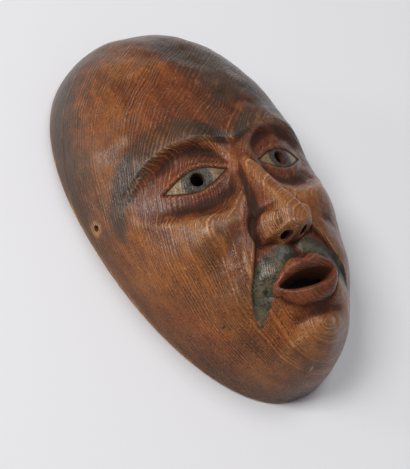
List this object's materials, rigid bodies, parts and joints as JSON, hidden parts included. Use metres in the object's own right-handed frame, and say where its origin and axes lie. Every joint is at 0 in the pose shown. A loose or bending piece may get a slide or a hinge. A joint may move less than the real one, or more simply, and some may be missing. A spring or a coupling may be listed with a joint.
{
  "type": "carved wooden face mask",
  "caption": "Oval face mask carved from one block of wood, hollow behind, with pierced pupils, nostrils and mouth, painted brows and eyes.",
  "frame": {"origin": "centre of the oval outline, in the plane of the flat rim that the mask lies on", "axes": "+Y from the origin to the crown, +X to a viewer's right when facing the mask, +Z out of the face"},
  "size_m": [0.152, 0.248, 0.0865],
  "materials": {
    "wood": "satin, worn red-brown softwood with raised growth rings, dark and cream paint on brows and eyes"
  },
  "bodies": {
    "root": {"mask": "wood"}
  },
  "joints": []
}
